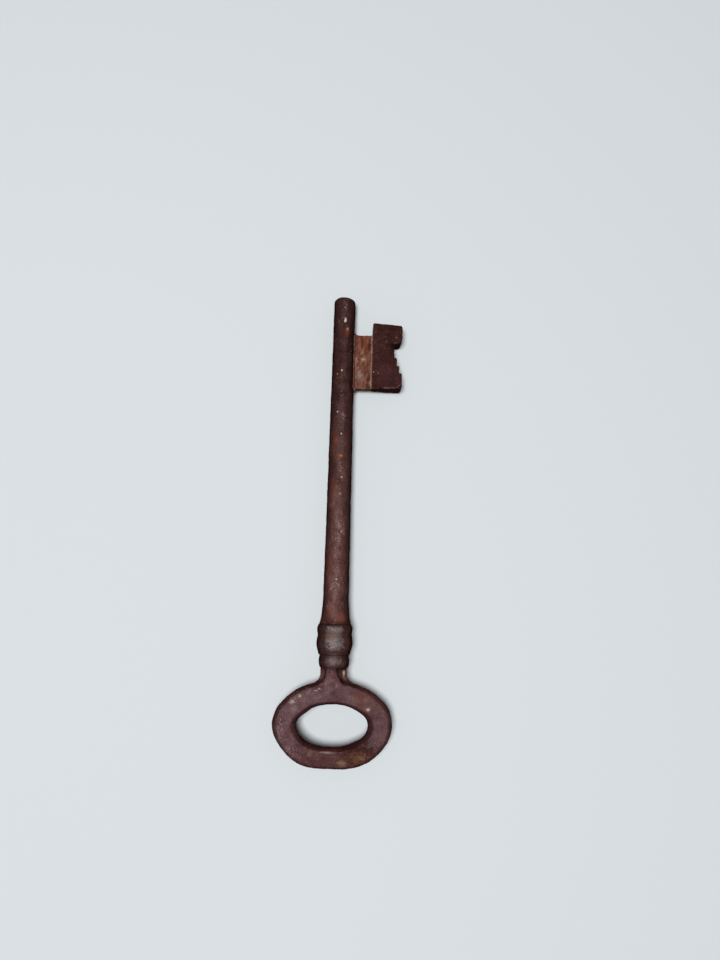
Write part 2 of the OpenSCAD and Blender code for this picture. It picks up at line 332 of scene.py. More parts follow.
def even_copy(node, step):
    """A CAD node's mesh, merged and remeshed to points about one step apart."""
    same_place = 0.002 * MM
    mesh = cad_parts[node].data.copy()
    shape = bmesh.new()
    shape.from_mesh(mesh)
    bmesh.ops.remove_doubles(shape, verts=shape.verts, dist=same_place)
    shape.to_mesh(mesh)
    shape.free()
    mesh.materials.clear()
    thing = bpy.data.objects.new(node + "_even", mesh)
    bpy.context.scene.collection.objects.link(thing)
    remesh = thing.modifiers.new("even", "REMESH")
    remesh.mode = "VOXEL"
    remesh.voxel_size = step
    thing.data = plain_mesh(thing)
    thing.modifiers.clear()
    bpy.data.meshes.remove(mesh)
    return thing


def points(mesh):
    """The mesh's points as an array of rows, in millimetres."""
    co = np.empty(len(mesh.vertices) * 3)
    mesh.vertices.foreach_get("co", co)
    return co.reshape(-1, 3) / MM


def put_points(mesh, co):
    """Puts the points back, from millimetres."""
    mesh.vertices.foreach_set("co", (co * MM).ravel())
    mesh.update()


def ease(value, low, high):
    """A soft step from 0 at low to 1 at high."""
    t = np.clip((value - low) / (high - low), 0, 1)
    return t * t * (3 - 2 * t)


def swell_at(co, y, width, amount):
    """Swells a turned piece's outside round a place on its axis, where rust has filled a crease.
    The bore and the spigot, which stand nearer to the axis, stay as they are."""
    radius = np.hypot(co[:, 0], co[:, 2])
    outside = ease(radius, 3.6, 4.0)
    swell = amount * np.exp(-((co[:, 1] - y) / width) ** 2) * outside
    above_zero = np.maximum(radius, 0.1)
    co[:, ::2] *= (1 + swell / above_zero)[:, None]


def rust(thing, bare, material, seed_step, **changes):
    """Runs the rusting tree on a mesh and keeps the result as the object's plain mesh. Bare is 1
    on each point that the air reaches, and 0 where the piece sits in another."""
    surface = bpy.context.scene.old_key.surface
    attribute = thing.data.attributes.new("bare", "FLOAT", "POINT")
    attribute.data.foreach_set("value", bare.astype(np.float32))
    tree = bpy.data.node_groups.get("rusting") or rusting_tree()
    values = {
        "Edge wear": surface.edge_wear, "Wear rounds": 8,
        "Swell depth": surface.swell_depth, "Swell size": 6 * MM,
        "Grain depth": surface.grain_depth, "Grain size": 0.8 * MM,
        "Pit depth": surface.pit_depth, "Pit size": 2.2 * MM, "Pit cover": 0.4,
        "Flake height": surface.flake_height, "Flake size": 3 * MM,
        "Blister height": surface.blister_height, "Blister size": 0.8 * MM, "Blister cover": 0.06,
        "Seed": float(surface.seed + seed_step), "Material": material,
    }
    values.update(changes)
    modifier = thing.modifiers.new("rusting", "NODES")
    modifier.node_group = tree
    sockets = {s.name: s.identifier for s in tree.interface.items_tree if s.in_out == "INPUT"}
    for name, value in values.items():
        modifier[sockets[name]] = value
    result = plain_mesh(thing)
    thing.modifiers.clear()
    thing.data = result
    result.polygons.foreach_set("use_smooth", [True] * len(result.polygons))
    result.update()


def stand_in(thing, name, node):
    """Names a finished piece, puts it on its body and hides the CAD node that it stands for."""
    thing.name = name
    thing.data.name = name
    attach(thing, "root")
    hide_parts(node)


# Materials


class Coat(Nodes):
    """A shader tree that is built up as a coat of rust: each step lays a colour over the last."""

    def __init__(self, name):
        self.material = bpy.data.materials.new(name)
        self.material.use_nodes = True
        super().__init__(self.material.node_tree)
        self.tree.nodes.clear()
        self.colours = bpy.context.scene.old_key.colours
        coordinates = add(self.tree, "ShaderNodeTexCoord").outputs
        self.place = coordinates["Object"]
        rise = add(self.tree, "ShaderNodeSeparateXYZ", {0: coordinates["Normal"]}).outputs[2]
        self.upright = self.maths("ABSOLUTE", rise)
        self.clouds = self.noise(4.0, 5.0)
        self.blotches = self.noise(1.2, 4.0)
        self.grains = self.noise(0.35, 2.0)
        self.torn = self.times(self.maths("ADD", self.grains, self.noise(1.0, 3.0)), 0.5)
        self.dry = None

    def along(self):
        """How far along the shank a point lies, in metres."""
        return add(self.tree, "ShaderNodeSeparateXYZ", {0: self.place}).outputs[1]

    def noise(self, size_mm, detail, stretch=(1, 1, 1)):
        """Noise with blobs about size_mm across, drawn out along an axis by the stretch."""
        place = self.place
        if stretch != (1, 1, 1):
            place = self.vector("MULTIPLY", place, [1 / s for s in stretch])[0]
        return add(self.tree, "ShaderNodeTexNoise",
                   {"Vector": place, "Scale": 1 / (size_mm * MM), "Detail": detail,
                    "Roughness": 0.62}).outputs[0]

    def kept(self, name):
        """A point attribute that the rusting tree kept."""
        return add(self.tree, "ShaderNodeAttribute", attribute_name=name).outputs["Fac"]

    def lay(self, amount, colour):
        """Lays a colour over the coat, by an amount from 0 to 1."""
        if not isinstance(colour, bpy.types.NodeSocket):
            colour = (*colour, 1)
        self.colour = add(self.tree, "ShaderNodeMix", {0: amount, 6: self.colour, 7: colour},
                          data_type="RGBA").outputs[2]

    def ramp(self, factor, *stops):
        """A colour ramp from (place, colour) pairs."""
        node = add(self.tree, "ShaderNodeValToRGB", {0: factor})
        line = node.color_ramp
        while len(line.elements) < len(stops):
            line.elements.new(0.5)
        for element, (place, colour) in zip(line.elements, stops):
            element.position = place
            element.color = (*colour, 1)
        return node.outputs[0]

    def spot(self, centre, radii, core, full, ragged=2.2):
        """How much a ragged spot covers: full out to the core's share of its radii, gone at their
        end. A higher number makes its edge more ragged."""
        away = self.vector("SUBTRACT", self.place, [c * MM for c in centre])[0]
        away = self.vector("MULTIPLY", away, [1 / (r * MM) for r in radii])[0]
        length = self.vector("LENGTH", away)["Value"]
        edge = self.maths("MULTIPLY_ADD", self.maths("SUBTRACT", self.torn, 0.5), ragged, length)
        return self.step(edge, core, 1.0, full, 0.0)

    def spots(self, *marks):
        """Lays spots, each given as its colour, then what spot takes."""
        for colour, *where in marks:
            self.lay(self.spot(*where), colour)

    def fleck_spots(self, colour, flecks, *places):
        """Lays flecks of a colour in places, each given as what spot takes."""
        for where in places:
            self.lay(self.times(flecks, self.spot(*where)), colour)

    def dry_spot(self, *where):
        """Takes the sheen off a spot, where dirt or loose rust lies on the scale."""
        spot = self.spot(*where)
        self.dry = spot if self.dry is None else self.maths("MAXIMUM", self.dry, spot)

    def flecks(self, low, high, amount=1.0):
        """Fine flecks of 0.35 mm, fewer where low and high are nearer to 1."""
        return self.step(self.grains, low, high, 0.0, amount)

    def finish(self, rough, metal, shine):
        """Closes the tree with a shader and gives the material. Rust is porous, so its shine is
        low, and its finest grain is relief in the shading alone."""
        relief = self.maths("MULTIPLY_ADD", self.blotches, 0.8, self.grains)
        relief = add(self.tree, "ShaderNodeBump",
                     {"Height": relief, "Strength": 1.0, "Distance": 0.07 * MM}).outputs[0]
        shader = add(self.tree, "ShaderNodeBsdfPrincipled",
                     {"Base Color": self.colour, "Roughness": rough, "Metallic": metal,
                      "Specular IOR Level": shine, "Normal": relief})
        out = add(self.tree, "ShaderNodeOutputMaterial")
        self.tree.links.new(shader.outputs[0], out.inputs[0])
        return self.material


def rusted_iron(name, base, light, painted_flank_shade, end=None, shine=0.3, young=0.35, glints=0.0, rub=0.7,
                bead_wear_and_highlight_at=None, seams=(), stretch=(1, 1, 1), marks=None):
    """Wrought iron under an old closed coat of rust: dark in pits and corners, paler on open
    faces, rubbed to dull grey iron on the edges that hands and pockets reach. Its flanks get a
    painted shade, and blisters that face up get painted glints. Under a lamp the hard scale has
    a low sheen, broken up by its grain, which dust takes from the flanks.

    The flank shade sets how dark the painted shade on the flanks is, end is the rust's colour
    towards the tip, young is how much orange rust there is, glints is how much painted glint
    the blisters get and rub is how far worn places are bare. The bead radii are where the tops
    of beads begin and end; they are rubbed grey there, and the grey is partly a painted
    highlight. Seams are places along the shank, and marks lays the piece's own spots."""
    coat = Coat(name)
    colours = coat.colours
    upright = coat.upright

    # Mottling: clouds of 4 mm, streaky blotches of 1.6 mm, grains of 0.35 mm
    mixed = coat.maths("ADD", coat.clouds, coat.noise(1.6, 4.0, stretch))
    mixed = coat.maths("MULTIPLY_ADD", coat.grains, 0.8, mixed)
    mixed = add(coat.tree, "ShaderNodeMapRange", {0: mixed, 1: 1.05, 2: 1.75}).outputs[0]
    deep = between(base, colours.pit_and_shade_brown, 0.6)
    coat.colour = coat.ramp(mixed, (0.1, deep), (0.38, base), (0.62, base), (1.0, light))
    if end is not None:
        along = coat.along()
        pale_end = between(end, base, 0.5)
        far = coat.ramp(mixed, (0.1, colours.pit_and_shade_brown), (0.42, end), (0.66, end), (1.0, pale_end))
        coat.lay(coat.step(along, -75 * MM, -12 * MM), far)
    # Painted shade: faces that slope away from the top are darkened towards pit brown
    coat.lay(coat.step(upright, 0.7, 0.98, painted_flank_shade, 0.0), colours.pit_and_shade_brown)

    # Young orange rust in small scattered spots, and pale grains
    coat.lay(coat.step(coat.noise(2.1, 5.0), 0.6, 0.76, 0.0, young), colours.fresh_orange)
    in_clouds = coat.step(coat.clouds, 0.42, 0.6, 0.1, 0.4)
    coat.lay(coat.times(coat.flecks(0.6, 0.72), in_clouds), light)
    coat.lay(coat.step(coat.grains, 0.3, 0.44, 0.4, 0.0), colours.pit_and_shade_brown)
    if marks is not None:
        marks(coat)

    # Pits, inner corners and seams hold dark rust. A seam's spot is wide enough to run all round.
    all_round = 40
    edge = coat.kept("edge")
    coat.lay(coat.times(coat.kept("pit"), 0.2), colours.pit_and_shade_brown)
    coat.lay(coat.step(edge, -0.09, -0.012, 0.65, 0.0), colours.pit_and_shade_brown)
    for y in seams:
        dark = coat.spot((0, y, 0), (all_round, 1.4, all_round), 0.0, 0.5, 4.5)
        coat.lay(dark, colours.pit_and_shade_brown)

    # Edges are rubbed thin, and so are the tops of turned beads, but not where rust fills a seam
    in_blotches = coat.step(coat.blotches, 0.45, 0.62, 0.0, 0.6)
    rubbed = coat.times(coat.step(edge, 0.02, 0.08), in_blotches)
    if bead_wear_and_highlight_at:
        begin, full = bead_wear_and_highlight_at
        from_axis = coat.vector("MULTIPLY", coat.place, (1, 0, 1))[0]
        radius = coat.vector("LENGTH", from_axis)["Value"]
        top = coat.step(radius, begin * MM, full * MM)
        # On the beads the grey is kept to faces that look up or down, so there it is partly a painted
        # highlight
        ragged = coat.maths("MULTIPLY_ADD", coat.maths("SUBTRACT", coat.torn, 0.5), 0.6, upright)
        top = coat.times(top, coat.step(ragged, 0.8, 1.0))
        top = coat.times(top, coat.step(coat.torn, 0.36, 0.62, 0.5, 1.0))
        rubbed = coat.maths("MAXIMUM", rubbed, top)
    rubbed = coat.times(rubbed, rub)
    for y in seams:
        closed = coat.spot((0, y, 0), (all_round, 1.0, all_round), 0.3, 0.9, 0.8)
        rubbed = coat.times(rubbed, coat.maths("SUBTRACT", 1.0, closed))
    coat.lay(rubbed, colours.worn_grey_and_highlight)

    # Blisters are pale in the clouds, and those that face up get a painted glint
    speck = coat.kept("speck")
    coat.lay(coat.times(speck, coat.step(coat.clouds, 0.45, 0.62, 0.0, 0.6)), light)
    coat.lay(coat.times(speck, coat.step(upright, 0.6, 0.97, 0.1 * glints, glints)), colours.chip_and_glint)

    # The sheen is lower in the dark mottles, on the flanks, near the tip and under dirt
    rough = coat.maths("MULTIPLY_ADD", coat.step(coat.clouds, 0.38, 0.62), -0.08, 0.6)
    shine = coat.step(mixed, 0.2, 0.8, 0.55 * shine, shine)
    shine = coat.times(shine, coat.step(upright, 0.45, 0.94))
    if end is not None:
        shine = coat.times(shine, coat.step(along, -60 * MM, -5 * MM, 1.0, 0.5))
    if coat.dry is not None:
        shine = coat.times(shine, coat.maths("SUBTRACT", 1.0, coat.dry))
    metal = coat.times(rubbed, 0.65)
    return coat.finish(rough, metal, coat.maths("MULTIPLY_ADD", rubbed, 0.4, shine))


def shank_marks(coat):
    """Dark rust and painted shade beside the web, orange and pale spots along the pin, a dry
    shoulder, and a painted sheen with glints on the crest.
    """
    c = coat.colours
    coat.spots(
        # Dark rust and painted shade in the corner between the pin and the web
        (c.pit_and_shade_brown, (2.6, -10, 2.3), (1.8, 11, 2.2), 0.6, 0.85),
        (c.pit_and_shade_brown, (2, -10.4, 2.8), (1.1, 10, 1.2), 0.3, 0.7, 1.6),
        (c.fresh_orange, (-2, -37.5, 3), (1.8, 6.5, 2), 0, 0.3, 3),
        (c.fresh_orange, (-1.8, -52.5, 3.2), (1.8, 6, 2), 0, 0.3, 3),
        (c.fresh_orange, (-2, -76, 3.3), (1.8, 10, 2), 0, 0.28, 3),
        (c.pit_and_shade_brown, (-1.5, 5.5, 3.2), (1, 4, 1.6), 0, 0.6, 4),
        (c.pit_and_shade_brown, (1.2, 6.8, 3.2), (0.7, 2.6, 1.6), 0, 0.7, 4),
        (c.pit_and_shade_brown, (-0.6, -6.5, 3.5), (1.2, 3.4, 1.6), 0, 0.5, 4),
        (c.pit_and_shade_brown, (-1.6, -22, 3.4), (1, 4, 1.6), 0, 0.5, 4),
        (c.pit_and_shade_brown, (1.6, -31, 3.2), (1, 4.5, 1.6), 0, 0.5, 4),
        (c.pit_and_shade_brown, (-1.4, -45, 3.3), (0.9, 2.6, 1.6), 0, 0.4, 4),
        (c.pit_and_shade_brown, (1.7, -58, 3.2), (0.9, 5, 1.6), 0, 0.45, 4),
        (c.fresh_orange, (0.85, -0.9, 3.3), (1.1, 2, 1.2), 0.2, 0.7, 3),
        (c.sand, (1.1, 0, 3.3), (0.45, 0.7, 0.9), 0.3, 0.75),
        (c.chip_and_glint, (0.3, 2.9, 3.4), (0.45, 0.9, 0.9), 0.4, 0.95),
        (c.chip_and_glint, (-0.33, -13.9, 3.5), (0.34, 0.36, 0.6), 0.4, 0.9),
        (c.sand, (-1.7, -15, 3.1), (0.3, 0.35, 0.6), 0.4, 0.7),
        (c.chip_and_glint, (-1.3, -27.4, 3.4), (0.3, 0.32, 0.6), 0.4, 0.6),
        (c.dust_and_sheen, (0.4, -28.2, 3.5), (0.8, 1.2, 0.8), 0.2, 0.6, 3),
        (c.chip_and_glint, (0.1, -34.5, 3.6), (0.3, 0.36, 0.6), 0.4, 0.7),
        (c.fresh_orange, (-1.4, -36.8, 3.4), (1, 1.6, 0.9), 0, 0.7, 3.5),
        (c.fresh_orange, (0.1, -41.5, 3.6), (1.5, 1, 0.9), 0, 0.9, 3.5),
        (c.sand, (0.3, -41.5, 3.6), (0.5, 0.35, 0.7), 0, 0.5, 3),
        (c.chip_and_glint, (0.6, -48.2, 3.6), (0.3, 0.4, 0.6), 0.4, 0.6),
        (c.fresh_orange, (-0.7, -51.4, 3.6), (0.9, 1.2, 0.9), 0, 0.6, 3.5),
        (c.dust_and_sheen, (0.4, -63.3, 3.8), (0.8, 1.1, 0.8), 0.2, 0.7, 3),
        (c.chip_and_glint, (1, -65, 3.7), (0.28, 0.32, 0.6), 0.4, 0.6),
        (c.chip_and_glint, (0, -79.4, 3.9), (0.28, 0.34, 0.6), 0.4, 0.6),
        (c.pit_and_shade_brown, (2.3, -85, 3.4), (1.3, 5.5, 1.5), 0.2, 0.65, 3),
        (c.shank_rust, (0, -91.5, 4.2), (6, 3.5, 3), 0, 0.6, 3),
        (c.fresh_orange, (-1.8, -88.5, 3.8), (1.6, 3.2, 2), 0, 0.35, 3),
        (c.fresh_orange, (1.9, -90.9, 4.1), (2.4, 2.6, 3), 0, 0.65, 3),
        (c.dust_and_sheen, (0.8, -90.6, 4.2), (3, 2.6, 2.4), 0, 0.35, 3),
        (c.tip_rust, (-2.4, -92.3, 3.8), (3.4, 1.7, 2.6), 0.2, 0.75, 3.5),
        (c.tip_rust, (3.6, -92.3, 3), (1.6, 1.5, 2.4), 0.2, 0.7, 3.5))
    coat.dry_spot((0.6, -91.5, 4), (6, 4.5, 4), 0.2, 0.7)

    # Painted sheen on the crest: pale patches with bright flecks, fewer towards the tip
    crest = coat.step(coat.upright, 0.93, 0.998)
    crest = coat.times(crest, coat.step(coat.along(), -70 * MM, -25 * MM, 1.0, 0.3))
    painted_crest_sheen = coat.times(coat.step(coat.noise(2.4, 3.0), 0.44, 0.62), crest)
    coat.lay(coat.times(painted_crest_sheen, 0.2), c.dust_and_sheen)
    coat.lay(coat.times(painted_crest_sheen, coat.flecks(0.56, 0.68, 0.4)), c.chip_and_glint)
    # Painted glints: bright flecks on the pin, near its tip and on its flank by the web
    coat.fleck_spots(
        c.chip_and_glint, coat.flecks(0.55, 0.64),
        ((0.1, 7.6, 3.3), (1.6, 2.6, 1.5), 0, 0.45),
        ((-1.6, 2, 3), (1, 2.4, 1.5), 0, 0.35),
        ((2.2, -9, 2.6), (0.8, 7, 1.5), 0, 0.4),
        ((-0.3, -21.5, 3.4), (1.6, 3, 1.5), 0, 0.3),
        ((0.6, -29.5, 3.4), (1.4, 2.6, 1.5), 0, 0.45),
        ((0.2, -45.5, 3.5), (1.4, 4, 1.5), 0, 0.3),
        ((0.1, -66, 3.7), (1.3, 6, 1.5), 0, 0.4),
        ((-0.1, -80.5, 3.8), (0.8, 6.5, 1.5), 0, 0.2))


def ring_marks(coat):
    """Brassy and orange tints on the collar, and paler rust in the creases."""
    c = coat.colours
    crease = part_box("collar")[0][1] / MM
    coat.spots(
        (c.brass, (-1, -96, 5), (4, 1.6, 1.6), 0, 0.45, 3.5),
        (c.fresh_orange, (3.5, -97.5, 3.7), (1.3, 4, 1.8), 0, 0.22, 3),
        (c.shank_rust, (1.6, -92.7, 4.4), (2.4, 0.9, 1.8), 0.2, 0.7, 3.5),
        (c.fresh_orange, (0.4, crease - 0.2, 4.4), (3, 0.8, 1.2), 0, 0.4, 4),
        (c.shank_rust, (-0.6, -105.2, 4.4), (2.6, 0.8, 1.4), 0, 0.7, 3))


def bow_marks(coat):
    """Sand, dark rust and painted shade in the neck's hollows, painted glints along the left edge
    and a stain at the foot.
    """
    c = coat.colours
    coat.lay(coat.step(coat.clouds, 0.48, 0.68, 0.0, 0.6), c.shank_rust)
    coat.spots(
        # Dark rust and painted shade in the neck's two scoops, deeper on the right; on the left pale rust
        # lightens the wall, partly a painted highlight
        (c.pit_and_shade_brown, (3.3, -107.4, 0.6), (2.6, 2.8, 2.2), 0.6, 0.6, 1.2),
        (c.pit_and_shade_brown, (-3.4, -107.4, 0.6), (1.9, 2.8, 2), 0.6, 0.25, 1.2),
        (c.dust_and_sheen, (-3.3, -107.9, 1.4), (1.3, 2.4, 1.4), 0, 0.4, 2),
        (c.fresh_orange, (3.3, -108.2, 1.2), (0.8, 1.4, 1.6), 0.2, 0.6),
        (c.sand, (3, -106.9, 1.2), (0.55, 1.3, 1.6), 0.3, 0.9),
        (c.chip_and_glint, (3, -106.6, 1.2), (0.3, 0.6, 1.6), 0.2, 0.5),
        (c.dust_and_sheen, (-2.1, -109.6, 2.3), (0.5, 1.4, 1), 0, 0.7, 1.5),
        (c.dust_and_sheen, (1, -110.4, 2.4), (0.6, 1, 1), 0, 0.8, 2),
        (c.shank_rust, (11.5, -112.5, 0.8), (8, 6, 1.6), 0.4, 0.6, 2),
        (c.shank_rust, (9, -114.5, 2.5), (8, 5.5, 2), 0, 0.55, 3),
        (c.fresh_orange, (8.5, -113.6, 2.5), (4, 2.6, 1.6), 0, 0.3, 3.5),
        (c.sand, (10.4, -117, 2.5), (1, 0.85, 1), 0.1, 0.75, 3),
        (c.chip_and_glint, (10.4, -116.9, 2.5), (0.6, 0.5, 1), 0.1, 0.7, 3),
        (c.worn_grey_and_highlight, (-11.4, -117.2, 2.5), (2, 1.6, 1), 0, 0.4, 3),
        (c.shank_rust, (-3, -130.5, 2.5), (14, 4.5, 3), 0.2, 0.5, 2),
        (c.pit_and_shade_brown, (0, -131.5, 2.5), (15, 4, 3), 0.2, 0.3, 2),
        (c.pit_and_shade_brown, (10.7, -126, 2.5), (3.6, 3.4, 1.8), 0, 0.6, 3),
        (c.pit_and_shade_brown, (6.5, -128.6, 2.5), (3, 1.6, 1.8), 0, 0.4, 3),
        (c.pit_and_shade_brown, (7.6, -130.2, 2.5), (8, 4.2, 2.4), 0.5, 0.75, 2),
        (c.fresh_orange, (8, -130.6, 2.5), (6.5, 3, 1.8), 0, 0.3, 4),
        (c.brass, (6.8, -130.6, 2.5), (5.6, 2.4, 1.8), 0, 0.32, 5),
        (c.sand, (9, -130.2, 2.5), (1.3, 1.1, 1.4), 0, 0.22, 5),
        (c.sand, (3.2, -132, 2.5), (1.8, 1.2, 1.4), 0, 0.4, 4.5))
    coat.dry_spot((7.6, -130.2, 2.5), (8.5, 4.6, 2.4), 0.5, 0.85, 2)
    coat.dry_spot((0, -131.5, 2.5), (16, 4.5, 3), 0.3, 0.45, 2)
    # Painted glints: pale flecks along the bow's left edge
    coat.fleck_spots(
        c.chip_and_glint, coat.flecks(0.54, 0.66),
        ((-7.5, -112.7, 2.5), (3.4, 1, 1), 0, 0.4),
        ((-11.8, -115, 2.5), (2.6, 2, 1), 0, 0.6),
        ((-15, -121.5, 2.5), (2, 9, 1.6), 0, 0.45),
        ((-11.5, -129, 2.5), (4, 2, 1.6), 0.1, 0.3))
    # A crisp row of painted glints along the left edge, and a painted highlight on the eye's lower rim
    coat.fleck_spots(
        c.chip_and_glint, coat.flecks(0.42, 0.6),
        ((-3.9, -111.4, 2.4), (0.9, 0.45, 1), 0.1, 0.7),
        ((-5, -111.9, 2.5), (1, 0.4, 1), 0.1, 0.6),
        ((-9.8, -113.5, 2.5), (1.1, 0.8, 1), 0.1, 0.8),
        ((-12, -115.3, 2.5), (1, 1, 1), 0.1, 0.8),
        ((-1.2, -129.1, 2.5), (3.4, 0.4, 1), 0.2, 0.5))


def bit_marks(coat):
    """The copper tint that the braze left on the web, its scratches, and the wing's blotches, with
    painted highlights along the web's edges and painted glints.
    """
    c = coat.colours
    coat.lay(coat.step(coat.blotches, 0.36, 0.5, 0.65, 0.0), c.pit_and_shade_brown)
    in_clouds = coat.step(coat.clouds, 0.4, 0.6, 0.1, 0.3)
    coat.lay(coat.times(coat.flecks(0.56, 0.66), in_clouds), c.dust_and_sheen)

    # The web, where the braze ran: copper tint in streaks, with dark rust between
    scuffed = between(c.pale_copper_and_highlight, c.chip_and_glint, 0.4)
    web = coat.spot((6.15, -10, 0), (3.1, 40, 2.2), 0.88, 0.92, 0.25)
    streaks = coat.noise(0.8, 4.0, (1, 2.6, 1))
    coat.lay(web, c.copper)
    for amount, colour in (
            (coat.step(streaks, 0.42, 0.6, 0.0, 0.65), c.pale_copper_and_highlight),
            (coat.step(coat.blotches, 0.52, 0.66, 0.0, 0.3), c.pale_copper_and_highlight),
            (coat.step(coat.clouds, 0.36, 0.5, 0.6, 0.0), c.tip_rust),
            (coat.step(coat.grains, 0.58, 0.7, 0.0, 0.25), c.pale_copper_and_highlight)):
        coat.lay(coat.times(web, amount), colour)
    coat.spots(
        (c.fresh_orange, (6.4, -3.6, 1.2), (2.6, 3.6, 0.8), 0.1, 0.65, 3),
        (c.pit_and_shade_brown, (5.9, -3.2, 1.1), (0.45, 2.6, 0.8), 0, 0.75, 3),
        (c.pit_and_shade_brown, (8.2, -3.9, 1.1), (0.5, 2.8, 0.8), 0, 0.75, 3),
        (c.pit_and_shade_brown, (8.1, -15.8, 1.1), (0.45, 2.8, 0.8), 0, 0.7, 3),
        (c.shank_rust, (6.4, -11.9, 1.1), (2.4, 2.4, 0.8), 0.1, 0.8, 3),
        (c.dust_and_sheen, (5.6, -16, 1.1), (2.6, 3.4, 0.8), 0.1, 0.4, 3),
        # Pale copper along both edges of the web, partly a painted highlight on the fillet and on the slope
        # by the wing
        (c.pale_copper_and_highlight, (9, -10, 1.4), (0.5, 40, 0.8), 0.2, 0.8, 2.4),
        (c.pale_copper_and_highlight, (3.7, -12, 1.2), (0.7, 10, 0.9), 0.2, 0.7, 2.4),
        (c.sand, (5.9, -6.8, 1.1), (0.55, 1, 0.8), 0, 0.4, 5),
        (c.sand, (6.4, -9.3, 1.1), (1.3, 1, 0.8), 0, 0.5, 5),
        (c.chip_and_glint, (6.2, -9, 1.1), (0.9, 0.5, 0.8), 0, 0.35, 6),
        (scuffed, (4.8, -12, 1.1), (0.4, 0.45, 0.8), 0, 0.6, 3),
        (scuffed, (5.4, -14.6, 1.1), (1.4, 2.2, 0.8), 0, 0.45, 7),
        (scuffed, (8.8, -17, 1.1), (0.6, 1.2, 0.8), 0, 0.5, 5),
        (scuffed, (4.2, -9.4, 1.1), (0.5, 1.6, 0.8), 0, 0.4, 6),
        (c.sand, (9.8, -13.5, 1.9), (0.3, 0.35, 1), 0.4, 0.7),
        (c.pit_and_shade_brown, (14, 0.3, 2.6), (7, 4.6, 1.4), 0.3, 0.45, 3),
        (c.pit_and_shade_brown, (13.5, -6, 2.6), (3.2, 3, 1.4), 0, 0.4, 4),
        (c.shank_rust, (16.9, -1.8, 2.8), (1.2, 2, 1.2), 0, 0.3, 3),
        (c.bow_rust, (13.5, -14.5, 2.4), (5, 5.5, 1.2), 0, 0.25, 3))
    # Painted glints: bright flecks on the web's outer edge and the front tab, and a painted highlight along
    # the wing's worn rear edge, partly real wear
    flecks = coat.flecks(0.48, 0.6)
    coat.fleck_spots(
        c.chip_and_glint, flecks,
        ((9, -10, 1.4), (0.45, 40, 0.8), 0.2, 0.4),
        ((14.2, -18.9, 2.6), (3.4, 0.35, 1), 0.1, 0.4),
        ((16.8, -2, 2.8), (0.5, 0.7, 1), 0.1, 0.4))
    coat.fleck_spots(c.pale_copper_and_highlight, flecks, ((6.2, -13, 1.1), (3.2, 7, 0.8), 0, 0.4))


# Operators


class KEY_OT_shank(bpy.types.Operator):
    """Turns and rusts the shank"""
    bl_idname = "old_key.shank"
    bl_label = "Shank"

    def execute(self, context):
        key = context.scene.old_key
        c = key.colours
        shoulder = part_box("collar")[1][1] / MM
        thing = even_copy("shank", key.surface.mesh_step * 1.3)
        co = points(thing.data)
        self.wear_tip(co)
        swell_at(co, shoulder, 0.6, 0.25)
        put_points(thing.data, co)

        # The spigot, the tenon and the slot's walls sit in other pieces
        bare = ease(co[:, 1], shoulder, shoulder + 0.7)
        slot_half, slot_floor, slot_mouth = 1.3, 1.3, 3.2
        slot_rear, slot_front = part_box("bit")[0][1] / MM - 0.1, -1
        in_slot = (np.abs(co[:, 2]) < slot_half) & (co[:, 0] > slot_floor) & (co[:, 0] < slot_mouth)
        in_slot &= (co[:, 1] > slot_rear) & (co[:, 1] < slot_front)
        bare[in_slot] = 0

        # Turned iron, rusted: mottles drawn out along the pin, painted shade on the flanks and a
        # painted sheen with glints on the crest
        material = rusted_iron(
            "turned_iron_rusted", c.shank_rust, c.dust_and_sheen, painted_flank_shade=0.8, end=c.tip_rust, glints=0.6,
            rub=0.35, seams=(shoulder,), stretch=(1, 2.5, 1), marks=shank_marks)
        rust(thing, bare, material, 0)
        stand_in(thing, "shank_rusted", "shank")
        return {"FINISHED"}

    def wear_tip(self, co):
        """Makes the tip's end nearly flat inside a worn rim, and chips it on one side."""
        radius = np.hypot(co[:, 0], co[:, 2])
        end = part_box("shank")[1][1] / MM
        near_end = ease(co[:, 1], end - 1.2, end)
        rim_radius, rim_width, rim_height = 2.7, 0.6, 0.22
        sunk, chip_depth = 0.2, 0.12
        rim = rim_height * np.exp(-((radius - rim_radius) / rim_width) ** 2)
        co[:, 1] += near_end * (rim - sunk)
        co[:, 1] -= near_end * chip_depth * ease(co[:, 0] + co[:, 2], 1.5, 5)


class KEY_OT_rings(bpy.types.Operator):
    """Turns and rusts the collar and the neck ring"""
    bl_idname = "old_key.rings"
    bl_label = "Collar and neck ring"

    def execute(self, context):
        key = context.scene.old_key
        c = key.colours
        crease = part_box("collar")[0][1] / MM

        # Each ring's node, the radii between which the tops of its beads grow bare, partly as a
        # painted highlight, and how bare
        rings = (("collar", (4.9, 5.42), 0.6), ("neck_ring", (4.3, 4.65), 0.34))
        for step, (node, tops, rub) in enumerate(rings):
            low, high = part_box(node)[0][1] / MM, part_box(node)[1][1] / MM

            # Turned iron, worn: dark rust in the hollows, painted shade on the flanks, and beads rubbed
            # to dull grey on top, the grey partly a painted highlight
            material = rusted_iron(
                "turned_iron_worn_" + node, c.tip_rust, c.shank_rust, painted_flank_shade=0.8, rub=rub,
                bead_wear_and_highlight_at=tops, seams=(low, high), marks=ring_marks)
            thing = even_copy(node, key.surface.mesh_step)
            co = points(thing.data)
            swell_at(co, crease, 0.45, 0.3)
            put_points(thing.data, co)

            # The bore and both end faces sit on other pieces
            bore, open_air, rim = 3.2, 3.5, 0.6
            bare = ease(np.hypot(co[:, 0], co[:, 2]), bore, open_air)
            bare *= ease(co[:, 1] - low, 0, rim) * ease(high - co[:, 1], 0, rim)
            rust(thing, bare, material, 20 + step)
            stand_in(thing, node + "_worn", node)
        return {"FINISHED"}


